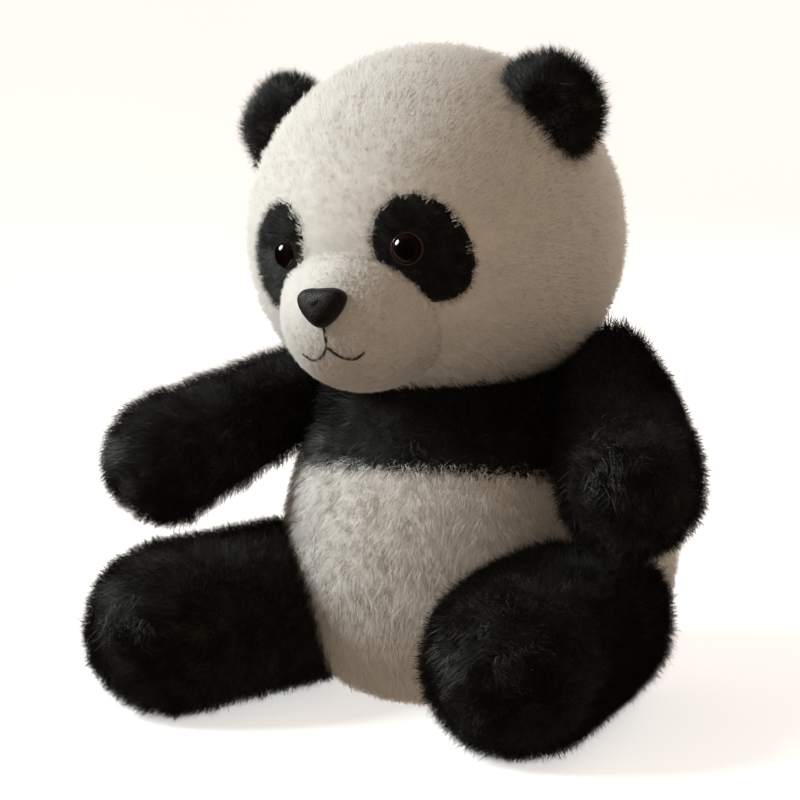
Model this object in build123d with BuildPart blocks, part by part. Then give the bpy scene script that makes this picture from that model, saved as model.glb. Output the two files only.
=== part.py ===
"""Seated plush panda with five plastic disc joints: neck, two shoulders and two hips.

Millimetres, +Z up, face toward -Y, the animal's left side at +X.
The origin is the centre of the flat seat, and the torso's upright axis is the Z axis.
Outer surfaces of the plush skins lie at the middle of the pile.
"""
import os
from functools import partial
from math import asin, cos, degrees, radians, sin

from build123d import *

# ---- driving dimensions -------------------------------------------------------------------
SKIN = 2.0                 # plush backing cloth and the lower half of its pile
FILL_GAP = 0.4             # between a skin and the stuffing inside it
BODY_GAP = 0.5             # between two bodies that turn on each other

SEAT_R = 58.0              # flat underside of the torso
BELLY_R = 82.0
BELLY_Z = 56.0
CHEST_R = 66.0
CHEST_Z = 112.0
DOME_R = 72.0              # rounding of the shoulders
TORSO_SEAM_Z = 96.0        # black yoke above, white belly and seat below

HEAD_Y = -28.0             # the head sits forward of the torso
HEAD_R = 75.5
HEAD_WIDEST_Z = 189.5
HEAD_BASE_Z = 131.0
HEAD_BASE_R = 30.0         # flat that turns on the torso

SHOULDER_TILT = 40.0       # degrees the shoulder axis rises above horizontal
SHOULDER_SINK = 5.0        # the arm's round end is centred this far outside its flat
HAND_CENTRE = (109.0, -71.0, 97.0)
ARM_ROOT_R = 21.5
ARM_R = 25.5
PAW_R = 27.0

HIP_SWING = 33.0           # degrees the hip axis turns forward of sideways
HIP_DROP = 15.0            # degrees it falls below horizontal
HIP_BALL_R = 83.0          # the leg's root is hollowed to this radius round the belly's centre
LEG_START = (62.0, -23.0, 34.5)
FOOT_CENTRE = (80.0, -109.0, 35.0)
LEG_R = 34.5
FOOT_R = 35.0

EAR_CENTRE = (61.5, -39.0, 236.0)
EAR_R = 22.5
EAR_HALF_THICK = 8.0
EAR_RIM_R = 5.0            # rounding of the ear's edge
EAR_TURN = 12.0            # degrees each ear's face turns outward

MUZZLE_CENTRE = (0.0, -86.0, 161.0)
MUZZLE_HALF_WIDTH = 31.0
MUZZLE_HALF_HEIGHT = 27.5
MUZZLE_REACH = 27.0
MUZZLE_SKIN = 1.5          # short-pile cloth

PATCH_X = 33.0
PATCH_Z = 186.5
PATCH_HALF_WIDTH = 16.2
PATCH_HALF_HEIGHT = 21.7
PATCH_LEAN = 22.0          # degrees; the lower end leans outward
PATCH_THICK = 1.4

EYE_X = 28.2
EYE_Z = 187.0
EYE_R = 6.0                # 12 mm safety eye
EYE_HEIGHT = 4.2
EYE_STEM_R = 1.6
EYE_STEM = 11.0
EYE_WASHER_R = 5.5
EYE_SEAT = 0.2             # the dome's back stands this far off the cloth

NOSE_Z = 168.0
NOSE_WIDTH = 25.0          # before its corners are rounded
NOSE_HEIGHT = 14.5
NOSE_DEPTH = 5.5
NOSE_SEAT = 0.8            # the nose's back stands this far off the cloth
NOSE_STEM_R = 2.0
NOSE_STEM = 7.0
NOSE_WASHER_R = 5.0
NOSE_FOOT = 0.11           # half the nose's lower edge, as a share of its width

MOUTH_Z = 151.0            # where the thread parts into two curls
MOUTH_HALF_WIDTH = 13.5
THREAD = 1.3               # embroidery line width

STEM_R = 3.5               # disc joint stem
STEM_BORE_R = 3.55         # washer and lock bores run on it
STEM_HOLE_R = 4.2          # punched through the cloth
DISC_R = 17.0
DISC_THICK = 2.5
WASHER_R = 13.0
WASHER_THICK = 2.0
LOCK_R = 7.0
LOCK_THICK = 4.0

PELLET_R = 44.0            # pellet bag in the seat
PELLET_HEIGHT = 26.0

NECK_WASHER_DEPTH = 2.8    # washers lie flat behind curved cloth, so some sit deeper
SHOULDER_WASHER_DEPTH = 4.7
HIP_WASHER_DEPTH = 6.1

TRIM_WASHER_THICK = 1.5    # washers of the eyes and nose
TRIM_BORE_GAP = 0.05
SMALL = 0.3                # clearance between stacked pieces
TOUCH = 0.2                # clearance between sewn neighbours of one body
SIDES = {"left": 1, "right": -1}


# ---- plush forms --------------------------------------------------------------------------
def half_plane(reach):
    """Cuts the open sketch down to the half on the positive side of its Y axis."""
    Rectangle(reach, reach * 2, align=(Align.MAX, Align.CENTER), mode=Mode.SUBTRACT)


def head_form(grow):
    """The stuffed head, a solid of revolution, grown outward by a distance."""
    base = HEAD_BASE_Z - grow
    with BuildPart() as form:
        with BuildSketch(Plane.XZ.offset(-HEAD_Y)):
            with BuildLine():
                crown = CenterArc((0, HEAD_WIDEST_Z), HEAD_R + grow, 0, 90)
                jowl = EllipticalCenterArc(
                    (HEAD_BASE_R, HEAD_WIDEST_Z), HEAD_R - HEAD_BASE_R + grow,
                    HEAD_WIDEST_Z - base, 270, arc_size=90,
                )
                Line(jowl @ 0, (0, base))
                Line((0, base), crown @ 1)
            make_face()
        revolve(axis=Axis((0, HEAD_Y, 0), (0, 0, 1)))
    return form.part


def tangent_radius(run, rise):
    """Radius of an arc that starts upright and moves in by a run over a rise."""
    return (run * run + rise * rise) / (2 * run)


def torso_form(inset):
    """The pear-shaped torso with a flat seat, drawn in by a distance and hollowed for the head."""
    seat_arc = tangent_radius(BELLY_R - SEAT_R, BELLY_Z)
    side_arc = tangent_radius(BELLY_R - CHEST_R, CHEST_Z - BELLY_Z)
    lean = asin((CHEST_Z - BELLY_Z) / side_arc)
    dome_centre = (CHEST_R - DOME_R * cos(lean), CHEST_Z - DOME_R * sin(lean))
    drop = degrees(asin((BELLY_Z - inset) / (seat_arc - inset)))
    with BuildPart() as form:
        with BuildSketch(Plane.XZ):
            with BuildLine():
                seat = CenterArc((BELLY_R - seat_arc, BELLY_Z), seat_arc - inset, -drop, drop)
                CenterArc((BELLY_R - side_arc, BELLY_Z), side_arc - inset, 0, degrees(lean))
                dome = CenterArc(dome_centre, DOME_R - inset, degrees(lean), 90 - degrees(lean))
                crest = (dome @ 1).Y
                Polyline(dome @ 1, (0, crest), (0, inset), seat @ 0)
            make_face()
        revolve(axis=Axis.Z)
        add(head_form(BODY_GAP + inset), mode=Mode.SUBTRACT)
    return form.part


def limb_form(plane, length, radii, inset):
    """A stuffed limb: a round bar along the plane's Z axis, its radii given at root, middle and end."""
    root, middle, end = [radius - inset for radius in radii]
    with BuildPart() as form:
        with BuildSketch(Plane(plane.origin, x_dir=plane.x_dir, z_dir=-plane.y_dir)):
            with BuildLine():
                CenterArc((0, 0), root, -90, 90)
                ThreePointArc((root, 0), (middle, length / 2), (end, length))
                CenterArc((0, length), end, 0, 90)
                Line((0, length + end), (0, -root))
            make_face()
        revolve(axis=Axis(plane.origin, plane.z_dir))
    return form.part


def muzzle_form(grow):
    """The muzzle, an oval dome pressed into the face."""
    with BuildPart() as form:
        with BuildSketch(Plane.XY):
            Ellipse(MUZZLE_HALF_WIDTH + grow, MUZZLE_REACH + grow)
            half_plane(100)
        revolve(axis=Axis.Y)
        scale(by=(1, 1, (MUZZLE_HALF_HEIGHT + grow) / (MUZZLE_HALF_WIDTH + grow)))
    return form.part.moved(Location(MUZZLE_CENTRE))


def ear_form(side, inset):
    """An ear: a round, lens-shaped pad whose face looks forward and a little outward."""
    turn = radians(EAR_TURN)
    facing = Vector(side * sin(turn), -cos(turn), 0)
    centre = Vector(side * EAR_CENTRE[0], EAR_CENTRE[1], EAR_CENTRE[2])
    rim_at = EAR_R - EAR_RIM_R
    face_r = (rim_at**2 + EAR_HALF_THICK**2 - EAR_RIM_R**2) / (2 * (EAR_HALF_THICK - EAR_RIM_R))
    spread = degrees(asin(rim_at / (face_r - EAR_RIM_R)))
    with BuildPart() as form:
        with BuildSketch(Plane(centre, x_dir=facing.cross(Vector(0, 0, 1)), z_dir=(0, 0, 1))):
            with BuildLine():
                back = CenterArc((0, face_r - EAR_HALF_THICK), face_r - inset, -90, spread)
                CenterArc((rim_at, 0), EAR_RIM_R - inset, spread - 90, 180 - 2 * spread)
                front = CenterArc((0, EAR_HALF_THICK - face_r), face_r - inset, 90 - spread, spread)
                Line(front @ 1, back @ 0)
            make_face()
        revolve(axis=Axis(centre, facing))
    return form.part


# ---- planes where bodies meet: origin on the meeting face, Z into the moving body -----------
def shoulder_plane(side):
    """Touches the round of the shoulder, tilted up by the shoulder's tilt."""
    side_arc = tangent_radius(BELLY_R - CHEST_R, CHEST_Z - BELLY_Z)
    lean = asin((CHEST_Z - BELLY_Z) / side_arc)
    tilt = radians(SHOULDER_TILT)
    reach = DOME_R + BODY_GAP
    out = CHEST_R - DOME_R * cos(lean) + reach * cos(tilt)
    up = CHEST_Z - DOME_R * sin(lean) + reach * sin(tilt)
    return Plane((side * out, 0, up), x_dir=(0, 1, 0), z_dir=(side * cos(tilt), 0, sin(tilt)))


def hip_plane(side):
    """Touches the ball round the belly's centre, on the hip's axis."""
    swing, drop = radians(HIP_SWING), radians(HIP_DROP)
    out = Vector(side * cos(swing) * cos(drop), -sin(swing) * cos(drop), -sin(drop))
    centre = Vector(0, 0, BELLY_Z)
    return Plane(centre + out * (HIP_BALL_R + BODY_GAP / 2), x_dir=(out.Y, -out.X, 0), z_dir=out)


def limb_axis(start, end, side):
    """The plane at a limb's root whose Z axis runs along it, and the limb's length."""
    start = Vector(side * start[0], start[1], start[2])
    end = Vector(side * end[0], end[1], end[2])
    return Plane(start, z_dir=end - start), (end - start).length


# ---- disc joint hardware --------------------------------------------------------------------
def joint_levels(washer_depth):
    """Heights along a joint's axis: disc foot, washer top, lock top, stem end."""
    disc = SKIN + BODY_GAP + SMALL
    lock = -washer_depth - WASHER_THICK - SMALL
    return disc, -washer_depth, lock, lock - LOCK_THICK - 1.5


def rod(plane, radius, low, high):
    """A plain cylinder between two heights along a plane's axis, used for stems, holes and pockets."""
    with BuildPart() as piece:
        with BuildSketch(plane.offset(low)):
            Circle(radius)
        extrude(amount=high - low)
    return piece.part


def disc_with_stem(plane, washer_depth):
    disc, _, _, end = joint_levels(washer_depth)
    with BuildPart() as piece:
        with BuildSketch(plane.offset(disc)):
            Circle(DISC_R)
        extrude(amount=DISC_THICK)
        chamfer(piece.edges().filter_by(GeomType.CIRCLE), 0.6)
        add(rod(plane, STEM_R, end, disc + 0.5))
    return piece.part


def ring(plane, top, radius, thick, bore):
    """A flat ring on a stem, its top face at a height along the joint's axis."""
    with BuildPart() as piece:
        with BuildSketch(plane.offset(top)):
            Circle(radius)
        extrude(amount=-thick)
        chamfer(piece.edges().filter_by(GeomType.CIRCLE), 0.4)
        add(rod(plane, bore, top - thick - 1, top + 1), mode=Mode.SUBTRACT)
    return piece.part


def save(name, piece):
    piece.label = name
    export_step(piece, f"parts/{name}.step")


# ---- places on the face -----------------------------------------------------------------------
def on_head(x, z):
    """The plane that touches the head's front at X, Z, with its axis pointing outward."""
    point, normal = head_form(0).find_intersection_points(Axis((x, -300, z), (0, 1, 0)))[0]
    return Plane(point, x_dir=(normal.Y, -normal.X, 0), z_dir=normal)


def on_muzzle(z):
    """The plane that touches the muzzle's front on the centre line at a height."""
    point, normal = muzzle_form(0).find_intersection_points(Axis((0, -300, z), (0, 1, 0)))[0]
    return Plane(point, x_dir=(1, 0, 0), z_dir=normal)


os.makedirs("parts", exist_ok=True)
neck = Plane((0, HEAD_Y, HEAD_BASE_Z))
eye_planes = {name: on_head(side * EYE_X, EYE_Z) for name, side in SIDES.items()}
nose_plane = on_muzzle(NOSE_Z)
joints = {"neck": (neck, NECK_WASHER_DEPTH)}      # meeting plane, depth of the washer behind it
for name, side in SIDES.items():
    joints[f"shoulder_{name}"] = (shoulder_plane(side), SHOULDER_WASHER_DEPTH)
    joints[f"hip_{name}"] = (hip_plane(side), HIP_WASHER_DEPTH)

# ---- head ---------------------------------------------------------------------------------------
with BuildPart() as head_skin:
    add(head_form(0))
    add(head_form(-SKIN), mode=Mode.SUBTRACT)
    add(rod(neck, STEM_HOLE_R, -1, SKIN + 1), mode=Mode.SUBTRACT)
    for eye_plane in eye_planes.values():
        add(rod(eye_plane, EYE_STEM_R + TOUCH, -6, 2), mode=Mode.SUBTRACT)
save("head_skin", head_skin.part)

with BuildPart() as head_stuffing:
    add(head_form(-SKIN - FILL_GAP))
    disc_top = joint_levels(0)[0] + DISC_THICK
    add(rod(neck, DISC_R + FILL_GAP, 0, disc_top + FILL_GAP), mode=Mode.SUBTRACT)
    for eye_plane in eye_planes.values():
        add(rod(eye_plane, EYE_WASHER_R + FILL_GAP, -EYE_STEM - 1, 0), mode=Mode.SUBTRACT)
save("head_stuffing", head_stuffing.part)

for name, side in SIDES.items():
    # A patch is a layer of pile on the head, cut to a leaning oval, with the eye's seat left open.
    with BuildPart() as eye_patch:
        with BuildSketch(Plane((side * PATCH_X, HEAD_Y, PATCH_Z), x_dir=(1, 0, 0), z_dir=(0, -1, 0))):
            with Locations(Location((0, 0), side * PATCH_LEAN)):
                Ellipse(PATCH_HALF_WIDTH, PATCH_HALF_HEIGHT)
        extrude(amount=HEAD_R * 2)
        add(head_form(PATCH_THICK + 0.1), mode=Mode.INTERSECT)
        add(head_form(0.1), mode=Mode.SUBTRACT)
        add(rod(eye_planes[name], EYE_R + TOUCH, -6, 6), mode=Mode.SUBTRACT)
        add(muzzle_form(TOUCH), mode=Mode.SUBTRACT)
    save(f"eye_patch_{name}", eye_patch.part)

    # A safety eye: a low dome and its stem are one moulding.
    seat = eye_planes[name].offset(EYE_SEAT)
    dome_r = (EYE_R**2 + EYE_HEIGHT**2) / (2 * EYE_HEIGHT)
    with BuildPart() as eye:
        with BuildSketch(Plane(seat.origin, x_dir=seat.x_dir, z_dir=-seat.y_dir)):
            with Locations((0, EYE_HEIGHT - dome_r)):
                Circle(dome_r)
            half_plane(50)
            Rectangle(50, 50, align=(Align.CENTER, Align.MAX), mode=Mode.SUBTRACT)
        revolve(axis=Axis(seat.origin, seat.z_dir))
        add(rod(seat, EYE_STEM_R, -EYE_STEM, 1))
    save(f"eye_{name}", eye.part)

    washer_top = -SKIN - TRIM_WASHER_THICK
    washer = ring(seat, washer_top, EYE_WASHER_R, TRIM_WASHER_THICK, EYE_STEM_R + TRIM_BORE_GAP)
    save(f"eye_washer_{name}", washer)

    with BuildPart() as ear_skin:
        add(ear_form(side, 0))
        add(ear_form(side, SKIN), mode=Mode.SUBTRACT)
        add(head_form(TOUCH), mode=Mode.SUBTRACT)
    save(f"ear_skin_{name}", ear_skin.part)

    with BuildPart() as ear_padding:
        add(ear_form(side, SKIN + FILL_GAP))
        add(head_form(TOUCH), mode=Mode.SUBTRACT)
    save(f"ear_padding_{name}", ear_padding.part)

# ---- muzzle, nose and mouth -----------------------------------------------------------------------
with BuildPart() as muzzle_skin:
    add(muzzle_form(0))
    add(muzzle_form(-MUZZLE_SKIN), mode=Mode.SUBTRACT)
    add(head_form(TOUCH), mode=Mode.SUBTRACT)
    add(rod(nose_plane, NOSE_STEM_R + TOUCH, -5, 2), mode=Mode.SUBTRACT)
save("muzzle_skin", muzzle_skin.part)

with BuildPart() as muzzle_stuffing:
    add(muzzle_form(-MUZZLE_SKIN - FILL_GAP))
    add(head_form(TOUCH), mode=Mode.SUBTRACT)
    add(rod(nose_plane, NOSE_WASHER_R + FILL_GAP, -NOSE_STEM - 1, 0), mode=Mode.SUBTRACT)
save("muzzle_stuffing", muzzle_stuffing.part)

# The nose: a rounded triangle, broad side up, moulded with its stem.
with BuildPart() as nose:
    with BuildSketch(nose_plane.offset(NOSE_SEAT)):
        with BuildLine():
            Polyline(
                (-NOSE_WIDTH / 2, NOSE_HEIGHT / 2), (NOSE_WIDTH / 2, NOSE_HEIGHT / 2),
                (NOSE_WIDTH * NOSE_FOOT, -NOSE_HEIGHT / 2), (-NOSE_WIDTH * NOSE_FOOT, -NOSE_HEIGHT / 2),
                close=True,
            )
        make_face()
        fillet(vertices().sort_by(Axis.Y)[-2:], 4.5)
        fillet(vertices().sort_by(Axis.Y)[:2], 1.8)
    extrude(amount=NOSE_DEPTH)
    front = nose.faces().sort_by(Axis(nose_plane.origin, nose_plane.z_dir))[-1]
    fillet(front.edges(), 2.5)
    add(rod(nose_plane, NOSE_STEM_R, -NOSE_STEM, NOSE_SEAT + 0.5))
save("nose", nose.part)

nose_washer_top = -MUZZLE_SKIN - TRIM_WASHER_THICK
nose_washer = ring(nose_plane, nose_washer_top, NOSE_WASHER_R, TRIM_WASHER_THICK, NOSE_STEM_R + TRIM_BORE_GAP)
save("nose_washer", nose_washer)

# The mouth: one thread line down from the nose that parts into two upturned curls.
with BuildPart() as mouth_embroidery:
    with BuildSketch(Plane.XZ.offset(-MUZZLE_CENTRE[1])):
        with BuildLine() as thread:
            Line((0, NOSE_Z - NOSE_HEIGHT / 2 - 1.5), (0, MOUTH_Z))
            for side in SIDES.values():
                Spline(
                    (0, MOUTH_Z), (side * 7.5, MOUTH_Z - 4.2), (side * MOUTH_HALF_WIDTH, MOUTH_Z - 0.5),
                    tangents=[(side * 0.7, -1), (side * 0.5, 1)],
                )
        trace(thread.edges(), THREAD)
    extrude(amount=MUZZLE_REACH * 2)
    add(muzzle_form(THREAD * 0.8), mode=Mode.INTERSECT)
    add(muzzle_form(0.1), mode=Mode.SUBTRACT)
save("mouth_embroidery", mouth_embroidery.part)

# ---- torso ------------------------------------------------------------------------------------------
with BuildPart() as torso_skin:
    add(torso_form(0))
    add(torso_form(SKIN), mode=Mode.SUBTRACT)
    for plane, depth in joints.values():
        add(rod(plane, STEM_HOLE_R, -12, 2), mode=Mode.SUBTRACT)

with BuildPart() as torso_lower_skin:
    add(torso_skin.part)
    split(bisect_by=Plane.XY.offset(TORSO_SEAM_Z), keep=Keep.BOTTOM)
save("torso_lower_skin", torso_lower_skin.part)

with BuildPart() as torso_upper_skin:
    add(torso_skin.part)
    split(bisect_by=Plane.XY.offset(TORSO_SEAM_Z + 0.1), keep=Keep.TOP)
save("torso_upper_skin", torso_upper_skin.part)

with BuildPart() as pellet_bag:
    with BuildSketch(Plane.XY.offset(SKIN + 3)):
        Circle(PELLET_R)
    extrude(amount=PELLET_HEIGHT)
    fillet(pellet_bag.edges(), 8)
save("pellet_bag", pellet_bag.part)

with BuildPart() as torso_stuffing:
    add(torso_form(SKIN + FILL_GAP))
    for plane, depth in joints.values():
        end = joint_levels(depth)[3]
        add(rod(plane, WASHER_R + FILL_GAP, end - 1, 0), mode=Mode.SUBTRACT)
    add(rod(Plane.XY, PELLET_R + FILL_GAP, SKIN + 2.6, SKIN + 3.4 + PELLET_HEIGHT), mode=Mode.SUBTRACT)
save("torso_stuffing", torso_stuffing.part)

# ---- joint hardware -----------------------------------------------------------------------------------
for name, (plane, depth) in joints.items():
    _, washer_top, lock_top, _ = joint_levels(depth)
    save(f"{name}_disc", disc_with_stem(plane, depth))
    save(f"{name}_washer", ring(plane, washer_top, WASHER_R, WASHER_THICK, STEM_BORE_R))
    save(f"{name}_lock", ring(plane, lock_top, LOCK_R, LOCK_THICK, STEM_BORE_R))


# ---- arms and legs ------------------------------------------------------------------------------------
def behind_plane(plane, level):
    """Everything behind a meeting plane, raised by a level."""
    return rod(plane, 90, -90, level)


def belly_ball(level):
    """The ball round the belly's centre that a leg's root is hollowed to, grown by a level."""
    with BuildPart() as ball:
        with Locations((0, 0, BELLY_Z)):
            Sphere(HIP_BALL_R + level)
    return ball.part


def limb_skin(form, hollow, meeting, cutter):
    """A limb's skin, closed where it meets the torso, with a hole for the stem."""
    with BuildPart() as inside:
        add(hollow)
        add(cutter(BODY_GAP + SKIN), mode=Mode.SUBTRACT)
    with BuildPart() as skin:
        add(form)
        add(cutter(BODY_GAP), mode=Mode.SUBTRACT)
        add(inside.part, mode=Mode.SUBTRACT)
        add(rod(meeting, STEM_HOLE_R, -1, SKIN + BODY_GAP + 1), mode=Mode.SUBTRACT)
    return skin.part


def limb_stuffing(form, meeting, cutter):
    """A limb's filling, with a pocket for the joint disc."""
    with BuildPart() as filling:
        add(form)
        add(cutter(BODY_GAP + SKIN + FILL_GAP), mode=Mode.SUBTRACT)
        pocket_top = joint_levels(0)[0] + DISC_THICK + FILL_GAP
        add(rod(meeting, DISC_R + FILL_GAP, -6, pocket_top), mode=Mode.SUBTRACT)
    return filling.part


for name, side in SIDES.items():
    meeting = joints[f"shoulder_{name}"][0]
    start = meeting.origin + meeting.z_dir * SHOULDER_SINK
    axis_plane, length = limb_axis((side * start.X, start.Y, start.Z), HAND_CENTRE, side)
    radii = (ARM_ROOT_R, ARM_R, PAW_R)
    skin_out, skin_in, fill = [
        limb_form(axis_plane, length, radii, inset) for inset in (0, SKIN, SKIN + FILL_GAP)
    ]
    cutter = partial(behind_plane, meeting)
    save(f"arm_skin_{name}", limb_skin(skin_out, skin_in, meeting, cutter))
    save(f"arm_stuffing_{name}", limb_stuffing(fill, meeting, cutter))

    meeting = joints[f"hip_{name}"][0]
    axis_plane, length = limb_axis(LEG_START, FOOT_CENTRE, side)
    radii = (LEG_R, (LEG_R + FOOT_R) / 2 + 0.05, FOOT_R)
    skin_out, skin_in, fill = [
        limb_form(axis_plane, length, radii, inset) for inset in (0, SKIN, SKIN + FILL_GAP)
    ]
    save(f"leg_skin_{name}", limb_skin(skin_out, skin_in, meeting, belly_ball))
    save(f"leg_stuffing_{name}", limb_stuffing(fill, meeting, belly_ball))
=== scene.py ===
"""Seated plush panda: padded skins, tufted pile, safety eyes, moulded nose and stitched mouth."""
import math

import bmesh
import bpy
import numpy as np
from mathutils import Matrix, Quaternion, Vector, noise
from mathutils.bvhtree import BVHTree


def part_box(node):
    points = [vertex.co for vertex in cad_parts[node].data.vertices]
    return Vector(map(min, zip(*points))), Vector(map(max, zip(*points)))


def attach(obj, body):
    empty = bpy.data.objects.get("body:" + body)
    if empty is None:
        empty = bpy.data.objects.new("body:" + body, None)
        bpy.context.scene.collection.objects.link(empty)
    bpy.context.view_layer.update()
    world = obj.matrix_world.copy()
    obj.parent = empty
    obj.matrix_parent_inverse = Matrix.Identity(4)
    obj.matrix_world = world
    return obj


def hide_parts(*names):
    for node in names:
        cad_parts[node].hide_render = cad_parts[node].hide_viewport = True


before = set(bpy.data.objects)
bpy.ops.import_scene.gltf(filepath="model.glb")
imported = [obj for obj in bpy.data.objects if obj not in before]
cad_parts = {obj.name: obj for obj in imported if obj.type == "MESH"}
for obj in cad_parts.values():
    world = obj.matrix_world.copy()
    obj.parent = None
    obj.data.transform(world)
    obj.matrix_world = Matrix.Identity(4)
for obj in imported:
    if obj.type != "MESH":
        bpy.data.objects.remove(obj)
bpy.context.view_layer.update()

MM = 0.001
SIDES = {"left": 1, "right": -1}
SCENE = bpy.context.scene
noise.seed_set(5)              # the swirls in the pile come out alike on every run

# ---- sizes, in metres -------------------------------------------------------------------------
HEAD_AXIS = Vector((0, -28 * MM, 0))
HEAD_CORE = ((0, -28 * MM, 168 * MM), (0, -28 * MM, 194 * MM))
TORSO_CORE = ((0, 0, 40 * MM), (0, 0, 92 * MM))
ARM_CORE = ((70, 0, 125), (109, -71, 97))
LEG_CORE = ((66, -36, 34.5), (80, -109, 35))
MUZZLE_MIDDLE = Vector((0, -86 * MM, 161 * MM))
MUZZLE_RADII = Vector((32 * MM, 27 * MM, 28 * MM))
MUZZLE_CORE = Vector((0, -72 * MM, 161 * MM))
MUZZLE_FLARE = 4.5 * MM          # how softly the muzzle runs out into the cheeks
YOKE_EDGE_Z = 99 * MM          # black yoke's lower edge at the front
YOKE_DIP = 6 * MM              # how much lower it runs at the sides
SEAM_SNAP = 1.1 * MM           # points this near the yoke's edge are brought onto it
SEAM_ALLOWANCE = 3 * MM        # cloth turned in behind the seam
NOSE_TILT = math.radians(14.5)
CAST_REACH = 0.4               # where rays toward a form start, well outside it

WHITE_BACKING = -1.2 * MM      # cloth backing, measured from the middle of the pile
BLACK_BACKING = -2.6 * MM
STUFF_PRESSURE = 4.0
STUFF_FRAMES = 20
STUFF_CAP = 1.6 * MM
SEAT = 0.5 * MM                # backing cloth pressed flat where the toy sits on it


# ---- materials --------------------------------------------------------------------------------
def new_material(name, **values):
    """A Principled material whose plain values are set on the shader's own sockets."""
    material = bpy.data.materials.new(name)
    material.use_nodes = True
    shader = material.node_tree.nodes["Principled BSDF"]
    for socket, value in values.items():
        socket = socket.replace("_", " ")
        if hasattr(value, "__len__") and len(value) == 3:
            value = (*value, 1)
        shader.inputs[socket].default_value = value
    material.diffuse_color = tuple(shader.inputs["Base Color"].default_value)
    return material


def nodes_of(material):
    tree = material.node_tree
    return tree, tree.nodes["Principled BSDF"]


def ramp(tree, factor, stops):
    """A colour ramp fed by a factor socket; stops are (place, rgb)."""
    node = tree.nodes.new("ShaderNodeValToRGB")
    elements = node.color_ramp.elements
    while len(elements) < len(stops):
        elements.new(1)
    for element, (place, rgb) in zip(elements, stops):
        element.position = place
        element.color = (*rgb, 1)
    tree.links.new(factor, node.inputs["Fac"])
    return node.outputs["Color"]


def noise_on(tree, coordinates, scale, detail=4, roughness=0.55):
    node = tree.nodes.new("ShaderNodeTexNoise")
    node.inputs["Scale"].default_value = scale
    node.inputs["Detail"].default_value = detail
    node.inputs["Roughness"].default_value = roughness
    tree.links.new(coordinates, node.inputs["Vector"])
    return node.outputs["Fac"]


def object_coordinates(tree):
    return tree.nodes.new("ShaderNodeTexCoord").outputs["Object"]


def bump(tree, shader, height, strength, distance):
    node = tree.nodes.new("ShaderNodeBump")
    node.inputs["Strength"].default_value = strength
    node.inputs["Distance"].default_value = distance
    tree.links.new(height, node.inputs["Height"])
    tree.links.new(node.outputs["Normal"], shader.inputs["Normal"])


def backing_cloth(name, dark, light, roughness):
    """Knitted backing under the pile: blotchy dye with fine knit bumps."""
    material = new_material(name, Base_Color=light, Roughness=roughness, Sheen_Weight=0.25,
                            Sheen_Roughness=0.5, Specular_IOR_Level=0.2)
    tree, shader = nodes_of(material)
    place = object_coordinates(tree)
    tree.links.new(ramp(tree, noise_on(tree, place, 90), [(0.35, dark), (0.65, light)]),
                   shader.inputs["Base Color"])
    bump(tree, shader, noise_on(tree, place, 1400, 2), 0.6, 0.4 * MM)
    return material


def moulded(name, dark, light, roughness, grain, depth):
    """Moulded plastic: slight mottling, polished unevenly."""
    material = new_material(name, Base_Color=dark, Roughness=roughness)
    tree, shader = nodes_of(material)
    place = object_coordinates(tree)
    tree.links.new(ramp(tree, noise_on(tree, place, 220), [(0.3, dark), (0.75, light)]),
                   shader.inputs["Base Color"])
    bump(tree, shader, noise_on(tree, place, grain, 3), 0.5, depth)
    return material


def strand_tones(name, tones, **values):
    """One plain dyed fibre material for each tone."""
    return [new_material(f"{name}_fibre_{i}", Base_Color=tone, **values)
            for i, tone in enumerate(tones)]


WHITE_FIBRES = strand_tones(
    "white",
    [(0.89, 0.885, 0.86), (0.91, 0.907, 0.885), (0.85, 0.84, 0.805), (0.93, 0.928, 0.91)],
    Roughness=0.8, Sheen_Weight=0.2, Sheen_Roughness=0.5, Specular_IOR_Level=0.15,
)
BLACK_FIBRES = strand_tones(
    "black",
    [(0.011, 0.0112, 0.0098), (0.017, 0.0172, 0.015), (0.028, 0.028, 0.0245), (0.060, 0.059, 0.053)],
    Roughness=0.52, Sheen_Weight=0.08, Sheen_Roughness=0.4, Specular_IOR_Level=0.38,
)
WHITE_CLOTH = backing_cloth("white_backing", (0.80, 0.785, 0.76), (0.88, 0.87, 0.85), 0.9)
MUZZLE_CLOTH = backing_cloth("muzzle_backing", (0.84, 0.825, 0.80), (0.90, 0.89, 0.87), 0.9)
BLACK_CLOTH = backing_cloth("black_backing", (0.006, 0.006, 0.006), (0.014, 0.0135, 0.013), 0.9)
JOINT_PLASTIC = moulded("joint_plastic", (0.78, 0.77, 0.74), (0.86, 0.85, 0.83), 0.42, 900, 0.05 * MM)


# ---- wrapping a sheet round the CAD solids -------------------------------------------------------
def mesh_arrays(mesh):
    """Vertices as an n by 3 array and triangles as an m by 3 array."""
    mesh.calc_loop_triangles()
    points = np.zeros(len(mesh.vertices) * 3)
    mesh.vertices.foreach_get("co", points)
    triangles = np.zeros(len(mesh.loop_triangles) * 3, int)
    mesh.loop_triangles.foreach_get("vertices", triangles)
    return points.reshape(-1, 3), triangles.reshape(-1, 3)


def solid_tree(nodes):
    """One ray-casting tree over several CAD nodes."""
    points, faces, count = [], [], 0
    for name in nodes:
        p, f = mesh_arrays(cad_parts[name].data)
        points.append(p)
        faces.append(f + count)
        count += len(p)
    return BVHTree.FromPolygons(np.concatenate(points).tolist(), np.concatenate(faces).tolist())


def tree_of(obj):
    points, faces = mesh_arrays(obj.data)
    return BVHTree.FromPolygons(points.tolist(), faces.tolist())


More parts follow.
